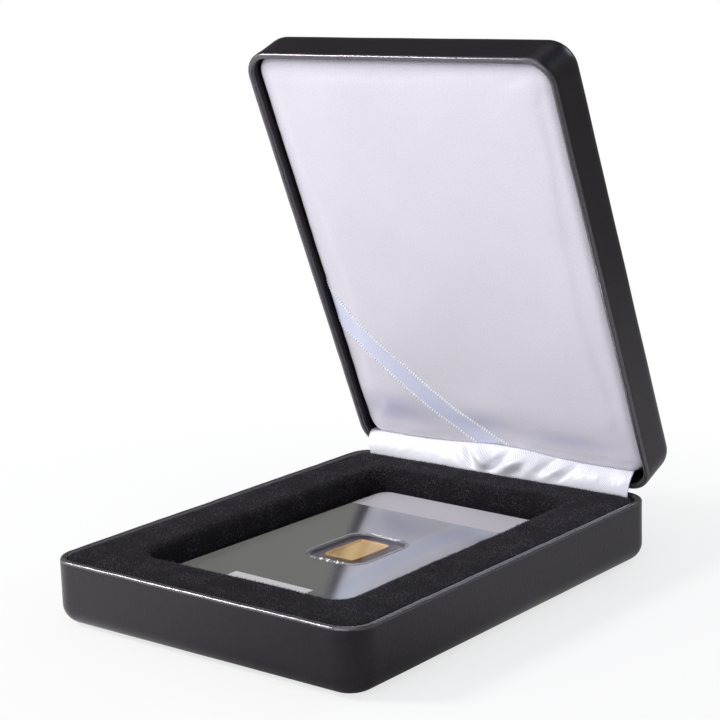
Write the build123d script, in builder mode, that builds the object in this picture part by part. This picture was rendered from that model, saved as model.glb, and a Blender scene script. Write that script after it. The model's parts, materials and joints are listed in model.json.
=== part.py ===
from build123d import *
from math import cos, radians, sin
import os

# Presentation case for one small carded bar: a base and a lid of thin pressed
# steel covered in leatherette, a velvet well, a satin lid pad and a steel hinge.
# Millimetres. The origin is the middle of the underside, +Z up, the front faces
# -Y, the hinge lies along X at the back, and the lid stands open as it is shown.

# Case sizes
case_width = 91.0
case_length = 119.0
base_height = 15.7
lid_height = 13.4
corner_radius = 7.0
edge_radius = 4.5
rim_gap = 0.2
open_angle = 67.75

# Wall layers, from the outside in
cover_thickness = 0.5
glue_gap = 0.05
shell_wall = 0.5
turn_in_depth = 4.0
fold_radius = 0.35

# Hinge
hinge_overhang = 0.2
hinge_length = 60.0
knuckle_count = 5
knuckle_gap = 0.3
barrel_radius = 1.0
pin_radius = 0.5
pin_clearance = 0.05
pin_recess = 0.2
leaf_thickness = 0.4
leaf_height = 6.2
leaf_clearance = 0.05
relief_clearance = 0.3
rivet_count = 4
rivet_radius = 0.8
rivet_head_radius = 1.3
rivet_head_height = 0.45
rivet_depth = 4.6
rivet_clearance = 0.05

# Velvet insert in the base
velvet_thickness = 0.7
velvet_drop = 0.35
board_thickness = 1.5
filler_thickness = 4.75
insert_side_gap = 0.35
frame_outer_round = 1.0
frame_inner_round = 2.0
well_shift_x = -0.15
well_shift_y = 0.15
well_corner = 4.0

# Card
card_width = 54.0
card_length = 85.6
card_corner = 3.2
card_turn = -1.9
card_left_gap = 1.6
card_right_gap = 3.8
card_front_gap = 0.95
card_back_gap = 1.35
card_back_thickness = 0.25
card_core_thickness = 1.0
card_face_thickness = 0.25
window_width = 17.0
window_length = 21.0
window_corner = 4.0
window_clearance = 0.05
capsule_wall = 0.3
capsule_film = 0.12
bar_width = 9.6
bar_length = 14.1
bar_height = 0.65
bar_corner = 1.3
bar_border = 0.7
bar_border_depth = 0.12
bar_gap = 0.03
label_width = 24.0
label_length = 5.0
label_thickness = 0.1
label_front_gap = 8.25

# Satin pad in the lid
pad_drop = 1.3
pad_side_gap = 0.35
pad_back_gap = 4.7
pad_corner = 5.0
satin_thickness = 0.3
pad_foam_thickness = 4.0
pad_roll_width = 2.4
pad_roll_height = 2.2
pad_roll_steps = 5
pad_crown_rise = 0.3
pad_crown_reach = 14.0
ribbon_width = 6.5
ribbon_thickness = 0.25
ribbon_gap = 0.15
ribbon_reach = 39.5

# Satin strip that covers the hinge
gusset_thickness = 0.35
gusset_width = 81.0
gusset_tuck = 3.2
gusset_gap = 0.3
gusset_bulge = 1.0
gusset_waves = (0.5, 1.1, 0.7, 1.5, 0.9, 1.7, 0.8, 1.2, 0.5)

# Derived places
shell_outer = cover_thickness + glue_gap
shell_inner = shell_outer + shell_wall
turn_inner = shell_inner + glue_gap + cover_thickness
hinge_y = case_length / 2 + hinge_overhang
hinge_z = base_height + rim_gap / 2
tongue_far = barrel_radius - rim_gap / 2
tongue_near = tongue_far - leaf_thickness
relief_depth = tongue_far + relief_clearance
leaf_outer_y = case_length / 2 - shell_inner - leaf_clearance
leaf_inner_y = leaf_outer_y - leaf_thickness
knuckle_pitch = hinge_length / knuckle_count
well_width = card_width + card_left_gap + card_right_gap
well_length = card_length + card_front_gap + card_back_gap
card_x = well_shift_x + (card_left_gap - card_right_gap) / 2
card_y = well_shift_y + (card_front_gap - card_back_gap) / 2
card_place = Location((card_x, card_y, 0), (0, 0, card_turn))
card_thickness = card_back_thickness + card_core_thickness + card_face_thickness
board_low_z = shell_inner + glue_gap + filler_thickness
board_top_z = board_low_z + board_thickness
well_floor_z = board_top_z + velvet_thickness
insert_inset = turn_inner + insert_side_gap
frame_top_z = base_height - velvet_drop
frame_front_y = insert_inset - case_length / 2
frame_back_y = leaf_inner_y - rivet_head_height - gusset_thickness - gusset_gap * 2
pad_inset = turn_inner + pad_side_gap
pad_front_y = pad_inset - case_length / 2
pad_back_y = case_length / 2 - pad_back_gap
pad_width = case_width - 2 * pad_inset
board_near = pad_drop + satin_thickness + pad_foam_thickness
board_far = board_near + board_thickness

os.makedirs("parts", exist_ok=True)


# A point of the lid, given as it lies when the lid is shut, moved to the open lid.
def opened(y, z):
    turn = radians(open_angle)
    dy = y - hinge_y
    dz = z - hinge_z
    return (hinge_y + dy * cos(turn) + dz * sin(turn), hinge_z - dy * sin(turn) + dz * cos(turn))


# Each half has a plane in its rim: y towards the hinge and z into the half.
lid_turn = radians(open_angle)
lid_mid = opened(0, base_height + rim_gap)
base_rim = Plane(origin=(0, 0, base_height), x_dir=(-1, 0, 0), z_dir=(0, 0, -1))
lid_rim = Plane(origin=(0, *lid_mid), x_dir=(1, 0, 0), z_dir=(0, sin(lid_turn), cos(lid_turn)))


# A block with the case's outline, drawn in by inset, with its closed edge rounded.
def case_block(plane, height, inset, start=0.0):
    with BuildPart() as block:
        with BuildSketch(plane.offset(start)):
            RectangleRounded(case_width - 2 * inset, case_length - 2 * inset, corner_radius - inset)
        extrude(amount=height - inset - start)
        closed_face = block.faces().sort_by(Axis(plane.origin, plane.z_dir))[-1]
        fillet(closed_face.edges(), radius=edge_radius - inset)
    return block.part


# The frame round the well, drawn in by inset, with its upper edges rounded.
def well_frame(inset):
    top = frame_top_z - inset
    with BuildPart() as frame:
        with BuildSketch(Plane.XY.offset(well_floor_z)):
            with Locations((0, (frame_front_y + frame_back_y) / 2)):
                RectangleRounded(
                    case_width - 2 * insert_inset - 2 * inset,
                    frame_back_y - frame_front_y - 2 * inset,
                    corner_radius - insert_inset - inset,
                )
            with Locations((well_shift_x, well_shift_y)):
                RectangleRounded(
                    well_width + 2 * inset,
                    well_length + 2 * inset,
                    well_corner + inset,
                    mode=Mode.SUBTRACT,
                )
        extrude(amount=top - well_floor_z)
        wires = frame.faces().sort_by(Axis.Z)[-1].wires().sort_by(SortBy.LENGTH)
        fillet(wires[-1].edges(), radius=frame_outer_round - inset)
        wires = frame.faces().sort_by(Axis.Z)[-1].wires().sort_by(SortBy.LENGTH)
        fillet(wires[0].edges(), radius=frame_inner_round - inset)
    return frame.part


# The crowned pad, drawn in by inset, from the board's level up to its face.
def pad_crown(inset):
    middle_y = (pad_front_y + pad_back_y) / 2
    steps = [radians(90 * step / pad_roll_steps) for step in range(pad_roll_steps + 1)]
    profile = [
        (pad_roll_width * (1 - cos(turn)), pad_crown_rise + pad_roll_height * (1 - sin(turn)))
        for turn in steps
    ]
    profile.append((pad_crown_reach, 0))
    with BuildPart() as crown:
        for draw_in, fall in profile:
            with BuildSketch(lid_rim.offset(pad_drop + inset + fall)):
                with Locations((0, middle_y)):
                    RectangleRounded(
                        pad_width - 2 * (draw_in + inset),
                        pad_back_y - pad_front_y - 2 * (draw_in + inset),
                        pad_corner - inset,
                    )
        loft(ruled=True)
        with BuildSketch(lid_rim.offset(pad_drop + inset + profile[0][1])):
            with Locations((0, middle_y)):
                RectangleRounded(
                    pad_width - 2 * inset, pad_back_y - pad_front_y - 2 * inset, pad_corner - inset
                )
        extrude(amount=board_near - pad_drop - inset - profile[0][1])
    return crown.part


# Shells, covers, hinge leaves and rivets of both halves
halves = (("base", base_rim, base_height, 0), ("lid", lid_rim, lid_height, 1))
for half, rim, height, first_knuckle in halves:
    side = Plane(origin=rim.origin, x_dir=rim.y_dir, z_dir=rim.x_dir)
    back = Plane(origin=rim.origin, x_dir=rim.x_dir, z_dir=rim.y_dir)
    spacing = hinge_length / rivet_count

    # Pressed steel shell, let in at the back for the hinge barrel
    with BuildPart() as shell:
        add(case_block(rim, height, shell_outer, start=shell_outer))
        add(case_block(rim, height, shell_inner), mode=Mode.SUBTRACT)
        with BuildSketch(rim):
            with Locations((0, case_length / 2)):
                Rectangle(hinge_length + 2 * relief_clearance, 4 * turn_inner)
        extrude(amount=relief_depth, mode=Mode.SUBTRACT)
        with BuildSketch(back.offset(leaf_inner_y)):
            with Locations((0, -rivet_depth)):
                with GridLocations(spacing, 1, rivet_count, 1):
                    Circle(rivet_radius + rivet_clearance)
        extrude(amount=case_length / 2 - leaf_inner_y - cover_thickness, mode=Mode.SUBTRACT)
    shell.part.label = half + "_shell"
    export_step(shell.part, "parts/" + half + "_shell.step")

    # Leatherette, wrapped over the rim and turned in
    with BuildPart() as cover:
        add(case_block(rim, height, 0))
        add(case_block(rim, height, cover_thickness, start=turn_in_depth), mode=Mode.SUBTRACT)
        with BuildSketch(rim):
            RectangleRounded(
                case_width - 2 * turn_inner, case_length - 2 * turn_inner, corner_radius - turn_inner
            )
        extrude(amount=turn_in_depth, mode=Mode.SUBTRACT)
        with BuildSketch(rim.offset(cover_thickness)):
            RectangleRounded(
                case_width - 2 * cover_thickness,
                case_length - 2 * cover_thickness,
                corner_radius - cover_thickness,
            )
            RectangleRounded(
                case_width - 2 * (shell_inner + glue_gap),
                case_length - 2 * (shell_inner + glue_gap),
                corner_radius - shell_inner - glue_gap,
                mode=Mode.SUBTRACT,
            )
        extrude(amount=turn_in_depth - cover_thickness, mode=Mode.SUBTRACT)
        rim_face = cover.faces().sort_by(Axis(rim.origin, rim.z_dir))[0]
        fillet(rim_face.edges(), radius=fold_radius)
        with BuildSketch(rim):
            with Locations((0, case_length / 2)):
                Rectangle(hinge_length + 2 * relief_clearance, 2 * cover_thickness)
        extrude(amount=relief_depth, mode=Mode.SUBTRACT)
        with BuildSketch(rim):
            with Locations((0, (leaf_inner_y + case_length / 2 - cover_thickness) / 2)):
                Rectangle(
                    hinge_length + 2 * relief_clearance,
                    case_length / 2 - cover_thickness - leaf_inner_y + 4 * glue_gap,
                )
        extrude(amount=turn_in_depth, mode=Mode.SUBTRACT)
    cover.part.label = half + "_cover"
    export_step(cover.part, "parts/" + half + "_cover.step")

    # Hinge leaf: a strip on the wall with its own knuckles round the pin
    with BuildPart() as leaf:
        with BuildSketch(side.offset(-hinge_length / 2)):
            with Locations(((leaf_inner_y + leaf_outer_y) / 2, tongue_near + leaf_height / 2)):
                Rectangle(leaf_thickness, leaf_height)
        extrude(amount=hinge_length)
        for knuckle in range(first_knuckle, knuckle_count, 2):
            start = knuckle * knuckle_pitch - hinge_length / 2 + knuckle_gap / 2
            with BuildSketch(side.offset(start)):
                with Locations((hinge_y, -rim_gap / 2)):
                    Circle(barrel_radius)
                with Locations(((leaf_inner_y + hinge_y) / 2, (tongue_near + tongue_far) / 2)):
                    Rectangle(hinge_y - leaf_inner_y, leaf_thickness)
            extrude(amount=knuckle_pitch - knuckle_gap)
        with BuildSketch(side.offset(-hinge_length / 2)):
            with Locations((hinge_y, -rim_gap / 2)):
                Circle(pin_radius + pin_clearance)
        extrude(amount=hinge_length, mode=Mode.SUBTRACT)
        with BuildSketch(back.offset(leaf_inner_y)):
            with Locations((0, -rivet_depth)):
                with GridLocations(spacing, 1, rivet_count, 1):
                    Circle(rivet_radius + rivet_clearance)
        extrude(amount=leaf_thickness, mode=Mode.SUBTRACT)
    leaf.part.label = half + "_hinge_leaf"
    export_step(leaf.part, "parts/" + half + "_hinge_leaf.step")

    # Rivets through the leaf and the shell, flush under the leatherette
    with BuildPart() as rivets:
        with BuildSketch(back.offset(leaf_inner_y)):
            with Locations((0, -rivet_depth)):
                with GridLocations(spacing, 1, rivet_count, 1):
                    Circle(rivet_radius)
        extrude(amount=case_length / 2 - shell_outer - leaf_inner_y)
        with BuildSketch(back.offset(leaf_inner_y)):
            with Locations((0, -rivet_depth)):
                with GridLocations(spacing, 1, rivet_count, 1):
                    Circle(rivet_head_radius)
        extrude(amount=-rivet_head_height)
        heads = rivets.faces().sort_by(Axis(rim.origin, rim.y_dir))[:rivet_count]
        fillet(heads.edges(), radius=rivet_head_height * 0.6)
    rivets.part.label = half + "_hinge_rivets"
    export_step(rivets.part, "parts/" + half + "_hinge_rivets.step")

# Hinge pin
with BuildPart() as hinge_pin:
    with BuildSketch(Plane(origin=(0, hinge_y, hinge_z), z_dir=(1, 0, 0))):
        Circle(pin_radius)
    extrude(amount=hinge_length / 2 - pin_recess, both=True)
hinge_pin.part.label = "hinge_pin"
export_step(hinge_pin.part, "parts/hinge_pin.step")

# Foam block under the well, rounded like the shell's floor
with BuildPart() as base_filler:
    add(case_block(base_rim, base_height, shell_inner + glue_gap, start=base_height - board_low_z))
base_filler.part.label = "base_filler_foam"
export_step(base_filler.part, "parts/base_filler_foam.step")

# Board and velvet of the well floor
floor_layers = (
    ("well_floor_board", board_low_z + glue_gap, board_thickness - 2 * glue_gap),
    ("well_floor_velvet", board_top_z, velvet_thickness - glue_gap),
)
for name, low_z, thickness in floor_layers:
    with BuildPart() as layer:
        with BuildSketch(Plane.XY.offset(low_z)):
            with Locations((0, (frame_front_y + frame_back_y) / 2)):
                RectangleRounded(
                    case_width - 2 * insert_inset,
                    frame_back_y - frame_front_y,
                    corner_radius - insert_inset,
                )
        extrude(amount=thickness)
    layer.part.label = name
    export_step(layer.part, "parts/" + name + ".step")

# Foam frame round the well and the velvet drawn over it
with BuildPart() as frame_foam:
    add(well_frame(velvet_thickness + glue_gap))
frame_foam.part.label = "well_frame_foam"
export_step(frame_foam.part, "parts/well_frame_foam.step")

with BuildPart() as frame_velvet:
    add(well_frame(0))
    add(well_frame(velvet_thickness), mode=Mode.SUBTRACT)
frame_velvet.part.label = "well_frame_velvet"
export_step(frame_velvet.part, "parts/well_frame_velvet.step")

# Card: back, core and face, with the window cut through core and face
card_low_z = well_floor_z + glue_gap
core_low_z = card_low_z + card_back_thickness
face_low_z = core_low_z + card_core_thickness
card_top_z = face_low_z + card_face_thickness
card_layers = (
    ("card_back", card_low_z, card_back_thickness, False),
    ("card_core", core_low_z, card_core_thickness, True),
    ("card_face", face_low_z, card_face_thickness, True),
)
for name, low_z, thickness, has_window in card_layers:
    with BuildPart() as layer:
        with BuildSketch(Plane.XY.offset(low_z)):
            with Locations(card_place):
                RectangleRounded(card_width, card_length, card_corner)
            if has_window:
                with Locations(card_place):
                    RectangleRounded(window_width, window_length, window_corner, mode=Mode.SUBTRACT)
        extrude(amount=thickness)
    layer.part.label = name
    export_step(layer.part, "parts/" + name + ".step")

# Clear capsule in the window: a dish and a film over it
dish_width = window_width - 2 * window_clearance
dish_length = window_length - 2 * window_clearance
dish_corner = window_corner - window_clearance
film_low_z = card_top_z - capsule_film
with BuildPart() as capsule_dish:
    with BuildSketch(Plane.XY.offset(core_low_z)):
        with Locations(card_place):
            RectangleRounded(dish_width, dish_length, dish_corner)
    extrude(amount=film_low_z - core_low_z)
    with BuildSketch(Plane.XY.offset(core_low_z + capsule_wall)):
        with Locations(card_place):
            RectangleRounded(
                dish_width - 2 * capsule_wall, dish_length - 2 * capsule_wall, dish_corner - capsule_wall
            )
    extrude(amount=film_low_z - core_low_z - capsule_wall, mode=Mode.SUBTRACT)
capsule_dish.part.label = "capsule_dish"
export_step(capsule_dish.part, "parts/capsule_dish.step")

with BuildPart() as capsule_film_part:
    with BuildSketch(Plane.XY.offset(film_low_z)):
        with Locations(card_place):
            RectangleRounded(dish_width, dish_length, dish_corner)
    extrude(amount=capsule_film)
capsule_film_part.part.label = "capsule_film"
export_step(capsule_film_part.part, "parts/capsule_film.step")

# Bar with a raised border
bar_low_z = core_low_z + capsule_wall + bar_gap
with BuildPart() as gold_bar:
    with BuildSketch(Plane.XY.offset(bar_low_z)):
        with Locations(card_place):
            RectangleRounded(bar_width, bar_length, bar_corner)
    extrude(amount=bar_height)
    with BuildSketch(Plane.XY.offset(bar_low_z + bar_height)):
        with Locations(card_place):
            RectangleRounded(
                bar_width - 2 * bar_border, bar_length - 2 * bar_border, bar_corner - bar_border
            )
    extrude(amount=-bar_border_depth, mode=Mode.SUBTRACT)
    outer_wire = gold_bar.faces().sort_by(Axis.Z)[-1].wires().sort_by(SortBy.LENGTH)[-1]
    fillet(outer_wire.edges(), radius=bar_border / 4)
gold_bar.part.label = "gold_bar"
export_step(gold_bar.part, "parts/gold_bar.step")

# Bare label on the card's face
with BuildPart() as card_label:
    with BuildSketch(Plane.XY.offset(card_top_z)):
        with Locations(card_place):
            with Locations((0, label_front_gap + label_length / 2 - card_length / 2)):
                Rectangle(label_width, label_length)
    extrude(amount=label_thickness)
card_label.part.label = "card_label"
export_step(card_label.part, "parts/card_label.step")

# Lid filler, rounded like the shell, and the pad's board
with BuildPart() as lid_filler:
    add(case_block(lid_rim, lid_height, shell_inner + glue_gap, start=board_far + glue_gap))
lid_filler.part.label = "lid_filler_foam"
export_step(lid_filler.part, "parts/lid_filler_foam.step")

with BuildPart() as pad_board:
    with BuildSketch(lid_rim.offset(board_near + glue_gap)):
        with Locations((0, (pad_front_y + pad_back_y) / 2)):
            RectangleRounded(pad_width, pad_back_y - pad_front_y, pad_corner)
    extrude(amount=board_thickness - glue_gap)
pad_board.part.label = "lid_pad_board"
export_step(pad_board.part, "parts/lid_pad_board.step")

# Crowned foam and the satin drawn over it
with BuildPart() as pad_foam:
    add(pad_crown(satin_thickness + glue_gap))
pad_foam.part.label = "lid_pad_foam"
export_step(pad_foam.part, "parts/lid_pad_foam.step")

with BuildPart() as pad_satin:
    add(pad_crown(0))
    add(pad_crown(satin_thickness), mode=Mode.SUBTRACT)
pad_satin.part.label = "lid_pad_satin"
export_step(pad_satin.part, "parts/lid_pad_satin.step")

# Ribbon at 45 degrees across the pad's corner, trimmed to the pad's outline
ribbon_y = pad_back_y + pad_width / 2 - ribbon_reach
with BuildPart() as ribbon:
    with BuildSketch(lid_rim.offset(pad_drop - ribbon_gap - ribbon_thickness)):
        with Locations(Location((0, ribbon_y, 0), (0, 0, 45))):
            Rectangle(case_length * 2, ribbon_width)
        with Locations((0, (pad_front_y + pad_back_y) / 2)):
            RectangleRounded(
                pad_width, pad_back_y - pad_front_y, pad_corner, mode=Mode.INTERSECT
            )
    extrude(amount=ribbon_thickness)
ribbon.part.label = "certificate_ribbon"
export_step(ribbon.part, "parts/certificate_ribbon.step")

# Loose satin strip from the base's back wall into the lid, over the hinge
gusset_low = (frame_back_y + gusset_gap, well_floor_z + gusset_tuck)
gusset_knee = (frame_back_y + gusset_gap, frame_top_z)
gusset_high = opened(pad_back_y + gusset_gap * 2, base_height + rim_gap + pad_drop)
gusset_step = gusset_width / (len(gusset_waves) - 1)
with BuildPart() as gusset:
    for index, wave in enumerate(gusset_waves):
        with BuildSketch(Plane.YZ.offset(index * gusset_step - gusset_width / 2)):
            with BuildLine():
                front_middle = (
                    (gusset_knee[0] + gusset_high[0]) / 2 - gusset_bulge * wave,
                    (gusset_knee[1] + gusset_high[1]) / 2,
                )
                back_middle = (front_middle[0] + gusset_thickness, front_middle[1])
                back_knee = (gusset_knee[0] + gusset_thickness, gusset_knee[1])
                back_low = (gusset_low[0] + gusset_thickness, gusset_low[1])
                back_high = (gusset_high[0] + gusset_thickness, gusset_high[1])
                Line(gusset_low, gusset_knee)
                ThreePointArc(gusset_knee, front_middle, gusset_high)
                Line(gusset_high, back_high)
                ThreePointArc(back_high, back_middle, back_knee)
                Line(back_knee, back_low)
                Line(back_low, gusset_low)
            make_face()
    loft()
gusset.part.label = "hinge_gusset"
export_step(gusset.part, "parts/hinge_gusset.step")
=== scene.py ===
import bpy
import bmesh
import json
import math
from mathutils import Matrix, Vector, noise
from mathutils.bvhtree import BVHTree


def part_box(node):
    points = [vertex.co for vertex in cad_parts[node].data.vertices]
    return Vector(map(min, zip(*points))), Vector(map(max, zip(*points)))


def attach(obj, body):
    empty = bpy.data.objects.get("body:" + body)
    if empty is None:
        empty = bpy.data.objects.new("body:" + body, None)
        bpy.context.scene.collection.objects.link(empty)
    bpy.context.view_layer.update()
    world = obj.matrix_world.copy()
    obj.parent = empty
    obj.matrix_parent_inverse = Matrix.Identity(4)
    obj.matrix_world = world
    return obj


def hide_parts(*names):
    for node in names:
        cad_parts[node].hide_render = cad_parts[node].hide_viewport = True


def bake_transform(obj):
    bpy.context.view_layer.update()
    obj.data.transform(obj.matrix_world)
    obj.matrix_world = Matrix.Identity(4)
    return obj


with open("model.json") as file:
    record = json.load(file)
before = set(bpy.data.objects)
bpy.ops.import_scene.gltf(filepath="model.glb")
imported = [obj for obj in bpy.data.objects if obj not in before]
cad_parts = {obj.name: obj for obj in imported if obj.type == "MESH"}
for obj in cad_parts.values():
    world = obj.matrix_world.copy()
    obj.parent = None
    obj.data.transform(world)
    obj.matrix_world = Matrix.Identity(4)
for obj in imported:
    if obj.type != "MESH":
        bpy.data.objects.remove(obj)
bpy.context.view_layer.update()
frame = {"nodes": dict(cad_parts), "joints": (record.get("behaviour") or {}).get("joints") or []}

# Sizes of the case, read from the frame where it holds them
MM = 0.001
nodes = frame["nodes"]
hinge = next(j for j in frame["joints"] if j["name"] == "lid_hinge")
PIN = Vector(hinge["pos_m"])
OPEN_ANGLE = math.radians(hinge["range_deg"][1])
HALF_WIDTH, HALF_LENGTH, BASE_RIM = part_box("base_cover")[1]
LID_RIM = BASE_RIM + 2 * (PIN.z - BASE_RIM)
LID_DEPTH = 13.4 * MM
CORNER = 7.0 * MM
EDGE = 4.5 * MM
SKIN = 0.5 * MM
WALL = 1.6 * MM
FOLD = 0.7 * MM
TURN_IN = 4.0 * MM
FRAME_LOW, FRAME_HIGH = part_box("well_frame_velvet")
FLOOR_LOW, FLOOR_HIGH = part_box("well_floor_velvet")
WELL_HALF = Vector((29.7, 43.95)) * MM
WELL_MIDDLE = Vector((-0.15, 0.15)) * MM
CARD_LOW, CARD_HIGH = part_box("card_face")
CARD_MIDDLE = (CARD_LOW + CARD_HIGH) / 2
CARD_TURN = math.radians(-1.9)
HEADER_START = 29.55 * MM
# The card's face at the top of its lift, which the ribbon of the shut lid stays clear of
LIFTED_CARD = 16.6 * MM
PAD_GAP = 0.35 * MM
PAD_HALF_WIDTH = HALF_WIDTH - WALL - PAD_GAP
PAD_FRONT = -(HALF_LENGTH - WALL - PAD_GAP)
PAD_BACK = HALF_LENGTH - 4.3 * MM
PAD_FACE = LID_RIM + 1.3 * MM
PAD_BOARD = PAD_FACE + 4.3 * MM
PAD_CORNER = 5.0 * MM
RIBBON_WIDTH = 6.5 * MM
GUSSET_LENGTH, GUSSET_HEIGHT = 82.6 * MM, 13.5 * MM

# A piece of the lid is built as it lies when shut, and this opens it as photographed
LID_OPEN = (
    Matrix.Translation(PIN)
    @ Matrix.Rotation(-OPEN_ANGLE, 4, "X")
    @ Matrix.Translation(-PIN)
)
CARD_PLACE = Matrix.Translation((CARD_MIDDLE.x, CARD_MIDDLE.y, 0)) @ Matrix.Rotation(CARD_TURN, 4, "Z")


# Node and object building blocks

def put(tree, kind, feeds=None, **settings):
    """One node of a shader or geometry tree, with its settings and what feeds it."""
    node = tree.nodes.new(kind)
    for key, value in settings.items():
        setattr(node, key, value)
    for socket, value in (feeds or {}).items():
        if isinstance(value, bpy.types.NodeSocket):
            tree.links.new(value, node.inputs[socket])
        else:
            node.inputs[socket].default_value = value
    return node


def combine(tree, first, second, operation="ADD"):
    return put(tree, "ShaderNodeMath", {0: first, 1: second}, operation=operation).outputs[0]


def reckon(tree, operation, *ways):
    """Vector arithmetic, which gives a number for a length or a dot product, and else a vector."""
    node = put(tree, "ShaderNodeVectorMath", dict(enumerate(ways)), operation=operation)
    return node.outputs["Value" if operation in ("LENGTH", "DOT_PRODUCT") else "Vector"]


def spread(tree, value, low, high, to_low, to_high, **settings):
    feeds = {0: value, 1: low, 2: high, 3: to_low, 4: to_high}
    return put(tree, "ShaderNodeMapRange", feeds, **settings).outputs[0]


def from_noise(tree, value, to_low, to_high):
    """Spreads the middle of a noise texture, where most of it lies, over these values."""
    return spread(tree, value, 0.3, 0.7, to_low, to_high)


def shade_between(tree, value, dark, light):
    ends = [shade if isinstance(shade, bpy.types.NodeSocket) else (*shade, 1) for shade in (dark, light)]
    return put(tree, "ShaderNodeMix", {0: value, 6: ends[0], 7: ends[1]}, data_type="RGBA").outputs[2]


def place_on(tree, source="Object", kind="POINT", **feeds):
    """Coordinates of the surface, scaled and turned, or with TEXTURE those of a frame laid on it."""
    where = put(tree, "ShaderNodeTexCoord").outputs[source]
    return put(tree, "ShaderNodeMapping", {"Vector": where, **feeds}, vector_type=kind).outputs[0]


def mottle(tree, where, scale, detail=3.0, roughness=0.6):
    feeds = {"Vector": where, "Scale": scale, "Detail": detail, "Roughness": roughness}
    return put(tree, "ShaderNodeTexNoise", feeds).outputs["Fac"]


def cells(tree, where, scale):
    return put(tree, "ShaderNodeTexVoronoi", {"Vector": where, "Scale": scale}).outputs["Distance"]


def drive(shader, **feeds):
    """Lets each of these sockets feed the shader's input of that name."""
    for key, socket in feeds.items():
        shader.id_data.links.new(socket, shader.inputs[key.replace("_", " ")])


def raise_grain(shader, height, strength, depth):
    """Bumps the surface, on top of any lean that it already has."""
    feeds = {"Strength": strength, "Distance": depth, "Height": height}
    for link in shader.inputs["Normal"].links:
        feeds["Normal"] = link.from_socket
    drive(shader, Normal=put(shader.id_data, "ShaderNodeBump", feeds).outputs[0])


def finish_named(name, base, roughness, **settings):
    material = bpy.data.materials.new(name)
    material.use_nodes = True
    shader = material.node_tree.nodes["Principled BSDF"]
    shader.inputs["Base Color"].default_value = (*base, 1)
    shader.inputs["Roughness"].default_value = roughness
    for key, value in settings.items():
        shader.inputs[key.replace("_", " ")].default_value = value
    return material, material.node_tree, shader


def add_object(name, data):
    thing = bpy.data.objects.new(name, data)
    bpy.context.scene.collection.objects.link(thing)
    return thing


def mesh_of(name, verts, faces):
    mesh = bpy.data.meshes.new(name)
    mesh.from_pydata(verts, [], faces)
    return mesh


# Camera, floor, lamps and the room that the gloss mirrors

# Azimuth, elevation and roll in degrees, target and distance, fitted to the case's outline
CAMERA_TURN = (38.762, 12.127, -1.758)
CAMERA_TARGET = Vector((1.3106, 0.0, 56.405)) * MM
CAMERA_DISTANCE = 0.471214
CAMERA_LENS = 100.148

# Name, place, size, power and tint of each lamp
LAMPS = (
    ("high_left_softbox", (-0.55, -0.40, 0.56), 0.18, 4.6, (1.0, 0.985, 0.97)),
    ("front_softbox", (0.18, -0.86, 0.30), 0.80, 3.5, (1.0, 0.98, 0.99)),
    ("left_softbox", (-0.85, -0.30, 0.18), 0.60, 1.6, (0.97, 0.97, 1.0)),
    ("back_strip", (0.22, 0.80, 0.62), 0.16, 1.3, (0.75, 0.9, 1.0)),
)
LAMPS_AIM = Vector((0, 0.01, 0.04))

# Ways in which the studio is mirrored darker: from which dot product, to which, and its share there
DARKER_WAYS = (((0.6, -0.8, 0.0), 0.35, 1.0, 0.12), ((0.63, 0.78, 0.0), 0.3, 0.9, 0.55))


def place_camera():
    azimuth, elevation, roll = (math.radians(angle) for angle in CAMERA_TURN)
    back = Vector((
        math.sin(azimuth) * math.cos(elevation),
        -math.cos(azimuth) * math.cos(elevation),
        math.sin(elevation),
    ))
    right = (-back).cross(Vector((0, 0, 1))).normalized()
    up = right.cross(-back)
    turned_right = right * math.cos(roll) + up * math.sin(roll)
    turned_up = up * math.cos(roll) - right * math.sin(roll)
    data = bpy.data.cameras.new("photo_camera")
    data.lens = CAMERA_LENS
    data.sensor_width = 36.0
    data.clip_start = 0.01
    camera = add_object("photo_camera", data)
    camera.matrix_world = Matrix.Translation(CAMERA_TARGET + back * CAMERA_DISTANCE) @ Matrix(
        (turned_right, turned_up, back)
    ).transposed().to_4x4()
    bpy.context.scene.camera = camera


def seen_directly(tree):
    """1 for camera, mirror and glass rays, 0 for the light that falls on the case."""
    path = put(tree, "ShaderNodeLightPath").outputs
    seen = combine(tree, path["Is Camera Ray"], path["Is Glossy Ray"], "MAXIMUM")
    return combine(tree, seen, path["Is Transmission Ray"], "MAXIMUM")


def mirrored_side(tree, where):
    """1 for the camera, and less for mirrored rays towards the camera's own side and the far right."""
    unit = reckon(tree, "NORMALIZE", where)
    side = 1.0
    for way, start, end, low in DARKER_WAYS:
        toward = reckon(tree, "DOT_PRODUCT", unit, way)
        side = combine(tree, side, spread(tree, toward, start, end, 1.0, low), "MULTIPLY")
    mirrored = put(tree, "ShaderNodeLightPath").outputs["Is Glossy Ray"]
    return spread(tree, mirrored, 0.0, 1.0, 1.0, side)


def light_studio():
    world = bpy.data.worlds.new("studio")
    bpy.context.scene.world = world
    world.use_nodes = True
    tree = world.node_tree
    tree.nodes.clear()
    soft = put(tree, "ShaderNodeBackground", {"Color": (0.88, 0.91, 1.0, 1), "Strength": 0.42})
    side = mirrored_side(tree, put(tree, "ShaderNodeTexCoord").outputs["Generated"])
    white = put(tree, "ShaderNodeBackground", {"Color": (1, 1, 1, 1), "Strength": side})
    mix = put(tree, "ShaderNodeMixShader", {0: seen_directly(tree), 1: soft.outputs[0], 2: white.outputs[0]})
    put(tree, "ShaderNodeOutputWorld", {0: mix.outputs[0]})
    world.cycles.sampling_method = "NONE"
    for name, place, size, power, tint in LAMPS:
        data = bpy.data.lights.new(name, "AREA")
        data.size = size
        data.energy = power
        data.color = tint
        lamp = add_object(name, data)
        lamp.location = place
        lamp.rotation_euler = (LAMPS_AIM - Vector(place)).to_track_quat("-Z", "Y").to_euler()


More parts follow.
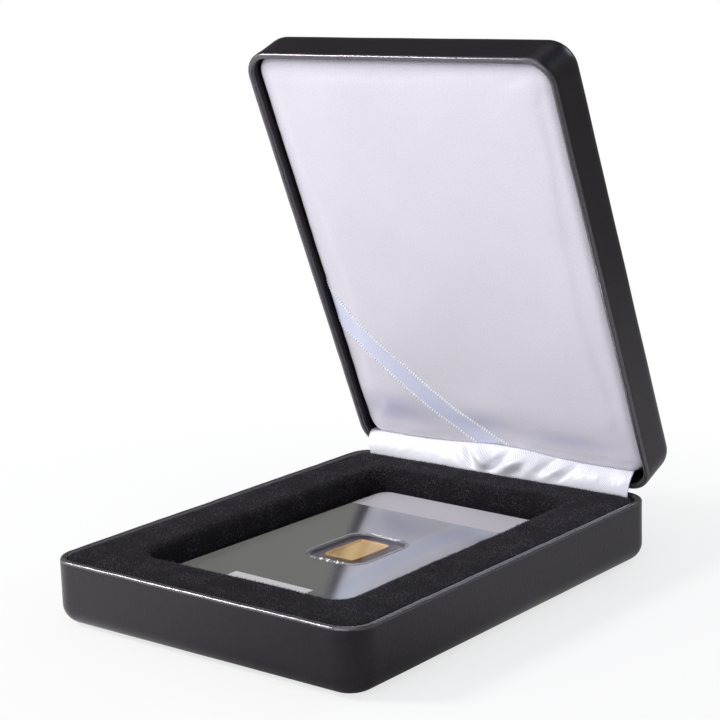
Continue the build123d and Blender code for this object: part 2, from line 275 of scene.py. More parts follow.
def lay_floor():
    """A pale floor that looks white, and a little less so round the case."""
    reach, below = 3.0, 0.2 * MM
    corners = [(-reach, -reach, 0), (reach, -reach, 0), (reach, reach, 0), (-reach, reach, 0)]
    floor = add_object("pale_floor", mesh_of("pale_floor", corners, [(0, 1, 2, 3)]))
    floor.location.z = -below
    material, tree, shader = finish_named("pale_floor", (0.9, 0.9, 0.9), 0.9)
    where = put(tree, "ShaderNodeTexCoord").outputs["Object"]
    fade = spread(tree, reckon(tree, "LENGTH", where), 0.06, 0.18, 0.72, 1.0)
    share = combine(tree, seen_directly(tree), fade, "MULTIPLY")
    white = put(tree, "ShaderNodeEmission", {"Color": (1, 1, 1, 1), "Strength": mirrored_side(tree, where)})
    mix = put(tree, "ShaderNodeMixShader", {0: share, 1: shader.outputs[0], 2: white.outputs[0]})
    tree.links.new(mix.outputs[0], tree.nodes["Material Output"].inputs[0])
    floor.data.materials.append(material)


def hang_studio_curtain():
    """A grey curtain behind the case, dark above, that only mirrored and refracted rays meet."""
    steps, height = 48, 1.1
    verts = []
    for step in range(steps + 1):
        turn = math.radians(-15 + 210 * step / steps)
        radius = 0.46 - 0.16 * math.cos(turn)
        verts += [(radius * math.cos(turn), radius * math.sin(turn), z) for z in (0.0, height)]
    faces = [(2 * step, 2 * step + 2, 2 * step + 3, 2 * step + 1) for step in range(steps)]
    curtain = add_object("studio_curtain", mesh_of("studio_curtain", verts, faces))
    for kind in ("camera", "diffuse", "shadow", "volume_scatter"):
        setattr(curtain, "visible_" + kind, False)
    material = bpy.data.materials.new("studio_curtain")
    material.use_nodes = True
    tree = material.node_tree
    tree.nodes.clear()
    where = put(tree, "ShaderNodeTexCoord").outputs["Object"]
    height = put(tree, "ShaderNodeSeparateXYZ", {0: where}).outputs["Z"]
    tint = shade_between(
        tree, spread(tree, height, 0.30, 0.46, 0.0, 1.0), (0.2, 0.198, 0.172), (0.03, 0.03, 0.035)
    )
    glow = put(tree, "ShaderNodeEmission", {"Color": tint, "Strength": 1.0})
    put(tree, "ShaderNodeOutputMaterial", {0: glow.outputs[0]})
    material.cycles.emission_sampling = "NONE"
    curtain.data.materials.append(material)


place_camera()
light_studio()
lay_floor()
hang_studio_curtain()


# Finishes of this case

def leatherette(name, turn, fold=False):
    """Fine vertical grain; glossier and much paler where it is folded over a rim, a paler colour that is
    partly stretch wear and partly a painted highlight along the fold.
    """
    # On the fold the paler colours stand partly for wear and partly for a painted highlight.
    if fold:
        gloss, bend, patch, dark, light = 0.2, 1.9, 900, (0.02, 0.02, 0.022), (0.085, 0.085, 0.09)
    else:
        gloss, bend, patch, dark, light = 0.33, 1.5, 60, (0.010, 0.0085, 0.012), (0.0165, 0.014, 0.0185)
    material, tree, shader = finish_named(
        name, (0.014, 0.012, 0.0155), gloss, IOR=bend, Specular_Tint=(0.95, 0.86, 1.0, 1)
    )
    across = place_on(tree, Scale=(1, 1, 0.5), Rotation=turn)
    pebbles = cells(tree, across, 1700)
    creases = mottle(tree, across, 4600, 2)
    raise_grain(shader, combine(tree, pebbles, creases), 0.2, 0.0001)
    drive(
        shader, Base_Color=shade_between(tree, mottle(tree, place_on(tree), patch, 4), dark, light),
        Roughness=from_noise(tree, creases, gloss - 0.06, gloss + 0.08),
    )
    return material


def velvet(name, dark, light, share):
    """Black pile, flecked with paler fibres over this share of it."""
    material, tree, shader = finish_named(
        name, dark, 0.9, Sheen_Weight=0.05, Sheen_Roughness=0.4, Sheen_Tint=(0.6, 0.58, 0.66, 1),
        Specular_IOR_Level=0.12,
    )
    where = place_on(tree)
    pile = mottle(tree, where, 3800, 2)
    nap = mottle(tree, where, 170, 3)
    flecks = spread(tree, mottle(tree, where, 3100, 1.5, 0.5), 0.7 - share, 0.84 - share, 0.0, 1.0)
    # Paler specks, scattered at random and more where the large mottle is high.
    paler_specks = combine(tree, flecks, spread(tree, nap, 0.38, 0.62, 0.35, 1.0), "MULTIPLY")
    drive(shader, Base_Color=shade_between(tree, paler_specks, dark, light))
    raise_grain(shader, combine(tree, pile, nap), 0.5, 0.0002)
    return material


def satin(name, tint, gloss, painted_shade_places=(), sheen=0.1, shadow=0.8):
    """Woven satin, with painted cool shade round these places where it is drawn in (place and reach along the
    cloth, in mm).
    """
    material, tree, shader = finish_named(
        name, tint, gloss, Sheen_Weight=sheen, Sheen_Roughness=0.4, Specular_IOR_Level=0.3 + sheen
    )
    threads, slubs, clouds = (
        mottle(tree, place_on(tree, "UV", Scale=(across, along, 1)), 1.0, detail)
        for across, along, detail in ((2300, 4200, 2), (120, 1300, 3), (45, 45, 3))
    )
    raise_grain(shader, combine(tree, threads, slubs), 0.16, 0.00005)
    weave = combine(tree, from_noise(tree, threads, 0.0, 0.8), from_noise(tree, clouds, 0.0, 0.2))
    woven = shade_between(tree, weave, tuple(c * shadow for c in tint), tint)
    # Painted shade: a cool lilac darkening round each of these places.
    for x, y, reach_x, reach_y in painted_shade_places:
        middle, reach = (x * MM, y * MM, 0), (reach_x * MM, reach_y * MM, 1)
        away = reckon(tree, "LENGTH", place_on(tree, "UV", "TEXTURE", Location=middle, Scale=reach))
        deep = spread(tree, away, 0.0, 1.5, 0.5, 0.0, interpolation_type="SMOOTHSTEP")
        woven = shade_between(tree, deep, woven, (0.5, 0.49, 0.7))
    drive(shader, Base_Color=woven, Roughness=from_noise(tree, slubs, gloss - 0.06, gloss + 0.08))
    return material


def twill(name):
    """Ribbed satin, with painted shade in the valleys of its ribs and painted shade growing towards its right
    end.
    """
    material, tree, shader = finish_named(
        name, (0.9, 0.9, 0.95), 0.34, Sheen_Weight=0.15, Sheen_Roughness=0.35
    )
    ribs = put(
        tree, "ShaderNodeTexWave",
        {"Vector": place_on(tree, "UV"), "Scale": 800.0, "Distortion": 0.8, "Detail": 1.0},
        bands_direction="DIAGONAL",
    ).outputs["Fac"]
    raise_grain(shader, ribs, 0.3, 0.00008)
    x = put(tree, "ShaderNodeSeparateXYZ", {0: place_on(tree, "UV")}).outputs["X"]
    # Painted shade: the colours darken towards the right end, and the rib valleys get the darker, bluer one.
    along = spread(tree, x, 0.0, GUSSET_LENGTH, 0.0, 1.0)
    valley_painted_shade = shade_between(tree, along, (0.8, 0.8, 0.9), (0.64, 0.64, 0.75))
    crest_painted_shade = shade_between(tree, along, (1.0, 1.0, 1.0), (0.82, 0.82, 0.87))
    drive(shader, Base_Color=shade_between(tree, ribs, valley_painted_shade, crest_painted_shade))
    return material


def hidden_foam(name):
    material, tree, shader = finish_named(name, (0.05, 0.05, 0.052), 0.9)
    bubbles = cells(tree, place_on(tree), 1500)
    raise_grain(shader, bubbles, 0.6, 0.0003)
    drive(shader, Base_Color=shade_between(tree, bubbles, (0.03, 0.03, 0.032), (0.09, 0.09, 0.092)))
    return material


def greyboard(name):
    material, tree, shader = finish_named(name, (0.42, 0.4, 0.37), 0.85)
    fibres = mottle(tree, place_on(tree, Scale=(1, 6, 1)), 700, 4)
    raise_grain(shader, fibres, 0.3, 0.0001)
    drive(shader, Base_Color=shade_between(tree, fibres, (0.34, 0.32, 0.29), (0.5, 0.48, 0.45)))
    return material


def drawn_steel(name, base, roughness):
    material, tree, shader = finish_named(name, base, roughness, Metallic=1.0)
    drawn = mottle(tree, place_on(tree, Scale=(0.08, 1, 1)), 4000, 2)
    drive(shader, Roughness=from_noise(tree, drawn, roughness * 0.8, roughness * 1.4))
    raise_grain(shader, drawn, 0.08, 0.00003)
    return material


def bow_card(shader, lean):
    """Nothing in the well lies quite flat, so what it mirrors lies a little higher and to the right."""
    tree = shader.id_data
    leaning = reckon(tree, "ADD", put(tree, "ShaderNodeNewGeometry").outputs["Normal"], lean)
    drive(shader, Normal=reckon(tree, "NORMALIZE", leaning))


def card_mirror(name):
    """A mirror-like face with a matt band across its far end."""
    material, tree, shader = finish_named(name, (0.6, 0.61, 0.63), 0.12, Metallic=0.86)
    bow_card(shader, (0.072, -0.033, 0.0))
    middle = (CARD_MIDDLE.x, CARD_MIDDLE.y, 0)
    on_card = place_on(tree, kind="TEXTURE", Location=middle, Rotation=(0, 0, CARD_TURN))
    up_card = put(tree, "ShaderNodeSeparateXYZ", {0: on_card}).outputs["Y"]
    band = spread(tree, up_card, HEADER_START, HEADER_START + 0.15 * MM, 0.0, 1.0)
    streaks = mottle(tree, place_on(tree, Scale=(1, 0.05, 1)), 1800, 2)
    gloss = combine(tree, spread(tree, band, 0.0, 1.0, 0.1, 0.42), from_noise(tree, streaks, -0.02, 0.03))
    drive(
        shader, Base_Color=shade_between(tree, band, (0.53, 0.54, 0.555), (0.57, 0.545, 0.57)),
        Roughness=gloss, Metallic=spread(tree, band, 0.0, 1.0, 0.86, 0.35),
    )
    return material


def card_plastic(name, base, metal):
    material, tree, shader = finish_named(name, base, 0.35, Metallic=metal)
    drive(shader, Roughness=from_noise(tree, mottle(tree, place_on(tree), 900, 2), 0.3, 0.42))
    return material


def clear_plastic(name, bend, cover):
    material, tree, shader = finish_named(
        name, (0.985, 0.98, 0.99), 0.02, Transmission_Weight=1.0, IOR=bend, Alpha=cover
    )
    raise_grain(shader, mottle(tree, place_on(tree), 120, 1), 0.02, 0.0001)
    return material


def plain_label(name):
    material, tree, shader = finish_named(name, (0.7, 0.69, 0.7), 0.5)
    fibres = mottle(tree, place_on(tree), 2500, 2)
    drive(shader, Base_Color=shade_between(tree, fibres, (0.56, 0.55, 0.56), (0.7, 0.69, 0.7)))
    return material


def gold(name, grain):
    material, tree, shader = finish_named(name, (1.0, 0.7, 0.27), 0.2, Metallic=1.0)
    sand = mottle(tree, place_on(tree), 5200, 2)
    bow_card(shader, (0.11, -0.005, 0.0))
    raise_grain(shader, sand, grain, 0.00006)
    drive(
        shader, Base_Color=shade_between(tree, sand, (0.98, 0.6, 0.16), (1.0, 0.78, 0.38)),
        Roughness=from_noise(tree, sand, 0.05, 0.13),
    )
    return material


LID_TURN = (OPEN_ANGLE, 0, 0)
FINISH = {
    "shell": drawn_steel("blackened_steel", (0.12, 0.12, 0.125), 0.4),
    "base_leather": leatherette("base_leatherette", (0, 0, 0)),
    "lid_leather": leatherette("lid_leatherette", LID_TURN),
    # The rim finishes are paler partly for wear and partly as a painted highlight along the fold.
    "base_rim_highlight_and_wear": leatherette("base_rim_leatherette_highlight_and_wear", (0, 0, 0), fold=True),
    "lid_rim_highlight_and_wear": leatherette("lid_rim_leatherette_highlight_and_wear", LID_TURN, fold=True),
    "velvet": velvet("black_velvet", (0.006, 0.005, 0.0075), (0.045, 0.042, 0.052), 0.16),
    "fibres": velvet("velvet_fibres", (0.007, 0.006, 0.009), (0.145, 0.136, 0.162), 0.25),
    # The white satin has painted cool shade at three places above the hinge.
    "satin": satin(
        "white_satin_painted_shade", (0.81, 0.785, 0.86), 0.46,
        ((-31.0, 45.5, 12.0, 5.0), (-3.0, 46.5, 9.0, 4.5), (22.0, 48.0, 12.0, 2.5)),
    ),
    "ribbon": satin("ribbon_satin", (0.76, 0.79, 0.98), 0.34, sheen=0.3),
    "selvedge": satin("ribbon_selvedge", (0.98, 0.99, 1.0), 0.3, sheen=1.0, shadow=0.98),
    "twill": twill("white_twill_satin_painted_shade"),
    "foam": hidden_foam("hidden_foam"),
    "board": greyboard("greyboard"),
    "steel": drawn_steel("hinge_steel", (0.6, 0.6, 0.62), 0.3),
    "mirror": card_mirror("card_mirror"),
    "card": card_plastic("card_plastic", (0.42, 0.37, 0.45), 0.35),
    "card_edge": card_plastic("card_edge_plastic", (0.03, 0.045, 0.08), 0.0),
    "clear": clear_plastic("clear_plastic", 1.12, 0.3),
    "rim": clear_plastic("clear_rim_plastic", 1.5, 0.95),
    "label": plain_label("plain_label"),
    "gold": gold("sanded_gold", 0.08),
    "gold_edge": gold("polished_gold", 0.02),
}


# Mesh building blocks

def rounded_stations(half_x, half_y, radius, along_x, along_y, around):
    """Stations round a rounded rectangle: a point on the corner centres' rectangle and the way out."""
    inner_x, inner_y = half_x - radius, half_y - radius
    corners = (
        (inner_x, -inner_y, -90), (inner_x, inner_y, 0), (-inner_x, inner_y, 90), (-inner_x, -inner_y, 180),
    )
    counts = (along_x, along_y, along_x, along_y)
    stations = []
    for side in range(4):
        x0, y0, _ = corners[side - 1]
        x1, y1, start = corners[side]
        out = math.radians(start)
        for step in range(counts[side]):
            share = step / counts[side]
            stations.append((x0 + (x1 - x0) * share, y0 + (y1 - y0) * share, math.cos(out), math.sin(out)))
        for step in range(around):
            turn = out + math.pi / 2 * step / around
            stations.append((x1, y1, math.cos(turn), math.sin(turn)))
    return stations


def ring(stations, reach, z, middle=(0.0, 0.0)):
    return [(x + nx * reach + middle[0], y + ny * reach + middle[1], z) for x, y, nx, ny in stations]


def skin_between(rings, closed=False):
    count = len(rings[0])
    verts = [point for one in rings for point in one]
    faces = []
    for row in range(len(rings) - (0 if closed else 1)):
        low, high = row * count, (row + 1) % len(rings) * count
        for k in range(count):
            n = (k + 1) % count
            faces.append((low + k, low + n, high + n, high + k))
    return verts, faces


def filled_grid(half_x, half_y, along_x, along_y, z, middle=(0.0, 0.0)):
    verts, faces = [], []
    for j in range(along_y + 1):
        for i in range(along_x + 1):
            x = -half_x + 2 * half_x * i / along_x
            y = -half_y + 2 * half_y * j / along_y
            verts.append((x + middle[0], y + middle[1], z))
    for j in range(along_y):
        for i in range(along_x):
            a = j * (along_x + 1) + i
            faces.append((a, a + 1, a + along_x + 2, a + along_x + 1))
    return verts, faces


def joined(*parts):
    verts, faces = [], []
    for more_verts, more_faces in parts:
        start = len(verts)
        verts += more_verts
        faces += [tuple(start + i for i in face) for face in more_faces]
    return verts, faces


def arc(centre, radius, start, stop, steps):
    points = []
    for step in range(steps + 1):
        turn = math.radians(start + (stop - start) * step / steps)
        points.append((centre[0] + radius * math.cos(turn), centre[1] + radius * math.sin(turn)))
    return points


def soft_wave(x, y, z, pitch, seed):
    return noise.noise(Vector((x / pitch + seed, y / pitch - seed, z / pitch + seed * 0.5)))


def bell(value, middle, width):
    return math.exp(-((value - middle) / width) ** 2)


def surface_of(verts, faces):
    return BVHTree.FromPolygons(verts, [tuple(face.vertices) for face in faces])


def piece_from(name, verts, faces, finish, outward=True):
    """A smooth piece from points and faces, merged, with its flat place as its UV map."""
    mesh = mesh_of(name, verts, faces)
    work = bmesh.new()
    work.from_mesh(mesh)
    bmesh.ops.remove_doubles(work, verts=work.verts, dist=1e-7)
    if outward:
        bmesh.ops.recalc_face_normals(work, faces=work.faces)
    flat = work.loops.layers.uv.new("flat")
    for face in work.faces:
        face.smooth = True
        for loop in face.loops:
            loop[flat].uv = (loop.vert.co.x, loop.vert.co.y)
    work.to_mesh(mesh)
    work.free()
    mesh.materials.append(FINISH[finish])
    return add_object(name, mesh)


def thicken(piece, thickness, offset=-1.0):
    solid = piece.modifiers.new("thickness", "SOLIDIFY")
    solid.thickness = thickness
    solid.offset = offset


def hand_over(piece, body, node):
    """Opens a lid piece, lets it ride on its body and stand for its CAD node."""
    if body == "lid":
        piece.data.transform(LID_OPEN)
    if body:
        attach(piece, body)
    if node:
        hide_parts(node)


# Padded pieces are blown by cloth simulation at a larger size, over this many frames
PUFF_SCALE, PUFF_VOXEL, PUFF_PRESSURE, PUFF_FRAMES = 10.0, 1.1 * MM, 3.0, 20


def puff(piece, held, cap):
    """Blows the skin of a padded piece out, by no more than the cap and not where it is held."""
    work = add_object("puffing", piece.data.copy())
    work.data.transform(Matrix.Scale(PUFF_SCALE, 4))
    remesh = work.modifiers.new("even", "REMESH")
    remesh.mode = "VOXEL"
    remesh.voxel_size = PUFF_VOXEL * PUFF_SCALE
    graph = bpy.context.evaluated_depsgraph_get()
    shell = bpy.data.meshes.new_from_object(work.evaluated_get(graph), depsgraph=graph)
    work.modifiers.clear()
    work.data = shell
    start = [v.co / PUFF_SCALE for v in shell.vertices]
    group = work.vertex_groups.new(name="held")
    for vertex, place in zip(shell.vertices, start):
        group.add([vertex.index], held(place), "REPLACE")
    cloth = work.modifiers.new("air", "CLOTH")
    cloth.settings.quality = 5
    cloth.settings.use_pressure = True
    cloth.settings.uniform_pressure_force = PUFF_PRESSURE
    cloth.settings.vertex_group_mass = "held"
    cloth.settings.effector_weights.gravity = 0
    cloth.point_cache.frame_start = 1
    cloth.point_cache.frame_end = PUFF_FRAMES
    for step in range(1, PUFF_FRAMES + 1):
        bpy.context.scene.frame_set(step)
    blown = work.evaluated_get(bpy.context.evaluated_depsgraph_get()).data
    shifts = []
    for vertex, place, outward in zip(blown.vertices, start, [v.normal.copy() for v in shell.vertices]):
        swell = (vertex.co / PUFF_SCALE - place).dot(outward)
        shifts.append(outward * min(cap, max(0.0, swell)))
    surface = surface_of(start, shell.polygons)
    for vertex in piece.data.vertices:
        index = surface.find_nearest(vertex.co)[2]
        corners = shell.polygons[index].vertices
        weights = [1.0 / ((start[i] - vertex.co).length + 1e-6) for i in corners]
        shift = sum((shifts[i] * weight for weight, i in zip(weights, corners)), Vector())
        vertex.co += shift / sum(weights) * (1 - held(vertex.co))
    bpy.context.scene.frame_set(1)
    bpy.data.objects.remove(work)


# Leatherette over each half, as one skin folded over the rim

def leather_cover(half, depth):
    """The skin of one half, with its closed face at 0 and its rim at depth."""
    outside = (
        [(CORNER, 0.0)]
        + arc((EDGE, EDGE), EDGE, -90, -180, 12)
        + [(0.0, EDGE + (depth - EDGE - FOLD) * k / 6) for k in range(1, 6)]
        + arc((FOLD, depth - FOLD), FOLD, 180, 90, 6)
        + arc((WALL - FOLD, depth - FOLD), FOLD, 90, 0, 6)
        + [(WALL, depth - TURN_IN * 0.5), (WALL, depth - TURN_IN)]
    )
    inside = (
        [(WALL - SKIN, depth - TURN_IN), (WALL - SKIN, depth - SKIN), (SKIN, depth - SKIN), (SKIN, EDGE)]
        + arc((EDGE, EDGE), EDGE - SKIN, 180, 270, 6)
        + [(CORNER, SKIN)]
    )
    along_x, along_y = 66, 87
    stations = rounded_stations(HALF_WIDTH, HALF_LENGTH, CORNER, along_x, along_y, 20)
    wavy_below, swell_cap = 2.2 * MM, 0.03 * MM
    notch, notch_below, notch_end = 1.2 * MM, 1.8 * MM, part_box(half + "_hinge_leaf")[1].x + 0.5 * MM
    pleats = 46
    seed = 2.0 if half == "base" else 7.0
    rings = []
    for row, (inset, height) in enumerate(outside + inside):
        outer = row < len(outside)
        points = []
        for x, y, nx, ny in stations:
            z, push = height, 0.0
            px, py = x + nx * CORNER, y + ny * CORNER
            if outer and height > depth - wavy_below:
                push = soft_wave(px, py, 0, 7 * MM, seed) * 0.06 * MM
                z += soft_wave(px, py, 0, 5 * MM, seed + 3) * 0.07 * MM - 0.05 * MM
                bent = 4 * (nx * ny) ** 2
                if inset > 0.3 * MM:
                    pleat = math.sin(math.atan2(ny, nx) * pleats + 2 * soft_wave(px, py, 0, 2 * MM, seed))
                    z += bent * pleat * 0.09 * MM * min(1.0, inset / MM)
            elif outer and inset < EDGE * 0.9:
                push = soft_wave(px, py, z, 16 * MM, seed) * 0.08 * MM - 0.04 * MM
            if ny > 0.99 and height > depth - notch_below:
                near = min(1.0, max(0.0, (notch_end + notch - abs(x)) / notch))
                z -= notch * near * near * (3 - 2 * near) * (height - depth + notch_below) / notch_below
            reach = CORNER - inset + min(push, swell_cap)
            points.append((x + nx * reach, y + ny * reach, z))
        rings.append(points)
    face = (HALF_WIDTH - CORNER, HALF_LENGTH - CORNER, along_x, along_y)
    return joined(skin_between(rings), filled_grid(*face, 0.0), filled_grid(*face, SKIN))


def cover_both_halves():
    for half, depth, rim in (("base", BASE_RIM, BASE_RIM), ("lid", LID_DEPTH, LID_RIM)):
        verts, faces = leather_cover(half, depth)
        if half == "lid":
            verts = [(x, y, LID_RIM + LID_DEPTH - z) for x, y, z in verts]
        piece = piece_from(half + "_leatherette", verts, faces, half + "_leather")
        # The rim's faces take the paler fold finish: partly wear, partly a painted highlight.
        piece.data.materials.append(FINISH[half + "_rim_highlight_and_wear"])
        for face in piece.data.polygons:
            face.material_index = abs(face.center.z - rim) < FOLD
        hand_over(piece, half, half + "_cover")


# Velvet over the foam frame, its floor and its pile

def velvet_frame():
    """One closed skin: out over the frame, down the well's wall and back below."""
    outer_half = ((FRAME_HIGH.x - FRAME_LOW.x) / 2 + 0.25 * MM, (FRAME_HIGH.y - FRAME_LOW.y) / 2 + 0.1 * MM)
    outer_middle = (0.0, (FRAME_HIGH.y + FRAME_LOW.y) / 2 - 0.1 * MM)
    counts = (80, 110, 14)
    outer_corner, well_corner = 5.2 * MM, 4.0 * MM
    outer = rounded_stations(*outer_half, outer_corner, *counts)
    well = rounded_stations(*WELL_HALF, well_corner, *counts)
    top, low = FRAME_HIGH.z, FLOOR_HIGH.z + 0.05 * MM
    round_out, round_in = 0.8 * MM, 2.1 * MM
    out_profile = [(0.0, low), (0.0, top - 3 * MM)] + arc(
        (round_out, top - round_out), round_out, 180, 90, 6
    )
    wall = [(0.0, low + (top - round_in - low) * k / 8) for k in range(7, -1, -1)]
    in_profile = arc((round_in, top - round_in), round_in, 90, 180, 9) + wall
    rings = [ring(outer, outer_corner - inset, z, outer_middle) for inset, z in out_profile]
    inner_rings = [ring(well, well_corner + inset, z, WELL_MIDDLE) for inset, z in in_profile]
    edge = rings[-1]
    for step in range(1, 13):
        rings.append([tuple(Vector(a).lerp(Vector(b), step / 13)) for a, b in zip(edge, inner_rings[0])])
    verts, faces = skin_between(rings + inner_rings, closed=True)
    wall_reach, tuck = 1.2 * MM, 1.7 * MM
    soft = []
    for x, y, z in verts:
        lift = max(0.0, (z - low) / (top - low))
        swell = soft_wave(x, y, z, 10 * MM, 3.1) * 0.16 + soft_wave(x, y, z, 3.4 * MM, 8.7) * 0.05
        sag = (swell - 0.1) * MM * lift
        dx, dy = x - WELL_MIDDLE.x, y - WELL_MIDDLE.y
        side = WELL_HALF.x + wall_reach - abs(dx)
        end = WELL_HALF.y + wall_reach - abs(dy)
        if min(side, end) > -0.01 * MM and low + tuck < z < top - 0.6 * MM:
            fade = min(1.0, (z - low - tuck) / MM)
            ripple = math.sin((z - low) / tuck * 2 * math.pi + 2.6 * soft_wave(x, y, 0, 15 * MM, 5.5))
            pull = (0.12 * ripple * (0.7 + soft_wave(x, y, 0, 24 * MM, 1.7)) + 0.1) * MM * fade
            if side < end:
                x -= math.copysign(pull, dx)
            else:
                y -= math.copysign(pull, dy)
        soft.append((x, y, z + sag))
    piece = piece_from("velvet_frame", soft, faces, "velvet")
    puff(piece, lambda p: 1.0 if p.z < low + 2.2 * MM else 0.0, 0.22 * MM)
    for vertex in piece.data.vertices:
        vertex.co.z = min(vertex.co.z, BASE_RIM - 0.1 * MM)
    hand_over(piece, "base", "well_frame_velvet")
    piece.visible_glossy = False
    return piece


def velvet_floor():
    half = ((FLOOR_HIGH.x - FLOOR_LOW.x) / 2, (FLOOR_HIGH.y - FLOOR_LOW.y) / 2)
    middle = (0.0, (FLOOR_HIGH.y + FLOOR_LOW.y) / 2)
    radius, thin = 5.0 * MM, 0.3 * MM
    stations = rounded_stations(*half, radius, 60, 80, 8)
    high, low = FLOOR_HIGH.z, FLOOR_LOW.z
    levels = ((0.0, high), (radius - thin, high), (radius, high - thin), (radius, low), (0.0, low))
    face = (half[0] - radius, half[1] - radius, 60, 80)
    verts, faces = joined(
        skin_between([ring(stations, reach, z, middle) for reach, z in levels]),
        filled_grid(*face, high, middle),
        filled_grid(*face, low, middle),
    )
    soft = [(x, y, z - 0.03 * MM * (1 + soft_wave(x, y, 0, 5 * MM, 2.2)) * (z > low)) for x, y, z in verts]
    piece = piece_from("velvet_floor", soft, faces, "velvet")
    hand_over(piece, "base", "well_floor_velvet")


# Satin pad of the lid, drawn in above the hinge most at these places (in mm, with their share)
DRAWN_IN = ((-31, 0.6), (-3, 0.6), (24, 0.1))
# Hollows and swells of the satin by the distance from its hinge end: depth, place and width in mm
END_WAVES = ((0.26, 6.5, 3), (-0.3, 14, 5), (-0.3, 1.5, 2))


def pad_fall(distance, roll=2.7 * MM):
    """How far the satin lies behind the crown's top, by the distance from the pad's edge."""
    crown = 16 * MM
    fall = 0.0
    if distance < roll:
        share = 1 - distance / roll
        fall += 0.9 * roll * (1 - math.sqrt(max(0.0, 1 - share * share)))
    if distance < crown:
        share = 1 - distance / crown
        fall += 0.35 * MM * share * share
    return fall


def satin_pad():
    half_y = (PAD_BACK - PAD_FRONT) / 2
    middle = (0.0, (PAD_FRONT + PAD_BACK) / 2)
    behind = PAD_BOARD + 1.5 * MM
    along_x, along_y = 90, 118
    stations = rounded_stations(PAD_HALF_WIDTH, half_y, PAD_CORNER, along_x, along_y, 18)
    rings = [ring(stations, PAD_CORNER, z, middle) for z in (behind, PAD_BOARD)]
    for inset in (0.0, 0.03, 0.1, 0.22, 0.4, 0.65, 0.95, 1.3, 1.7, 2.2, 2.8, 3.5, 4.2, 5.0):
        side, end = pad_fall(inset * MM), pad_fall(inset * MM, 1.3 * MM)
        rings.append([
            (x, y, PAD_FACE + side + (end - side) * max(0.0, station[3]) ** 2)
            for (x, y, _), station in zip(ring(stations, PAD_CORNER - inset * MM, 0, middle), stations)
        ])

    def edge_of(x, y):
        return max(0.0, min(PAD_HALF_WIDTH - abs(x), half_y - abs(y - middle[1])))

    inner = (PAD_HALF_WIDTH - PAD_CORNER, half_y - PAD_CORNER, along_x, along_y)
    face_verts, face_faces = filled_grid(*inner, 0.0, middle)
    face = [(x, y, PAD_FACE + pad_fall(edge_of(x, y))) for x, y, _ in face_verts]
    verts, faces = joined(
        skin_between(rings),
        (face, face_faces),
        filled_grid(*inner, behind, middle),
        skin_between([ring(stations, reach, behind, middle) for reach in (0.0, PAD_CORNER)]),
    )
    soft = []
    for x, y, z in verts:
        front = z < PAD_BOARD - 0.2 * MM
        near = max(0.0, 1 - edge_of(x, y) / (8 * MM))
        pucker = soft_wave(x, y, 0, 3.2 * MM, 6.3) * 0.12 * near * near
        drift = soft_wave(x, y, 0, 19 * MM, 4.4) * 0.14 + soft_wave(x, y, 0, 7 * MM, 9.9) * 0.03
        from_end = (PAD_BACK - y) / MM
        gathered = 0.4 + sum(share * bell(x / MM, at, 9) for at, share in DRAWN_IN)
        hollow = sum(deep * bell(from_end, at, width) for deep, at, width in END_WAVES)
        z += (pucker + drift + hollow * min(1.0, gathered)) * MM * front
        if y > 0:
            draw = 2.0 * bell(x, 1 * MM, 12 * MM) * MM
            y -= draw * (y / PAD_BACK) ** 8
        soft.append((x, y, z))
    piece = piece_from("satin_pad", soft, faces, "satin")
    puff(piece, lambda p: min(1.0, max(0.0, (p.z - PAD_FACE - 1.8 * MM) / MM)), 0.25 * MM)
    surface = surface_of([v.co.copy() for v in piece.data.vertices], piece.data.polygons)
    hand_over(piece, "lid", "lid_pad_satin")
    return surface


# Pieces that Geometry Nodes make

def new_geometry_tree(name, **sizes):
    """A geometry tree with a geometry input, the named sizes and a geometry output."""
    tree = bpy.data.node_groups.new(name, "GeometryNodeTree")
    tree.interface.new_socket("Geometry", in_out="INPUT", socket_type="NodeSocketGeometry")
    for size, kind in sizes.items():
        tree.interface.new_socket(size.replace("_", " "), in_out="INPUT", socket_type="NodeSocket" + kind)
    tree.interface.new_socket("Geometry", in_out="OUTPUT", socket_type="NodeSocketGeometry")
    return tree, put(tree, "NodeGroupInput").outputs


def end_tree(tree, geometry, finish):
    """Realizes what the tree made and gives it its material."""
    real = put(tree, "GeometryNodeRealizeInstances", {0: geometry})
    dressed = put(tree, "GeometryNodeSetMaterial", {"Geometry": real.outputs[0], "Material": finish})
    put(tree, "NodeGroupOutput", {0: dressed.outputs[0]})


def made_by(tree, name, data, **sizes):
    """Runs a geometry tree on some data with these sizes and keeps the result as a plain mesh."""
    carrier = add_object(name + "_carrier", data)
    modifier = carrier.modifiers.new(tree.name, "NODES")
    modifier.node_group = tree
    given = {key.replace("_", " "): value for key, value in sizes.items()}
    for item in tree.interface.items_tree:
        if item.in_out == "INPUT" and item.name in given:
            modifier[item.identifier] = given[item.name]
    graph = bpy.context.evaluated_depsgraph_get()
    mesh = bpy.data.meshes.new_from_object(carrier.evaluated_get(graph), depsgraph=graph)
    bpy.data.objects.remove(carrier)
    mesh.name = name
    for face in mesh.polygons:
        face.use_smooth = True
    return add_object(name, mesh)


def path_curve(name, points):
    data = bpy.data.curves.new(name, "CURVE")
    data.dimensions = "3D"
    line = data.splines.new("POLY")
    line.points.add(len(points) - 1)
    for slot, point in zip(line.points, points):
        slot.co = (*point, 1.0)
    return data


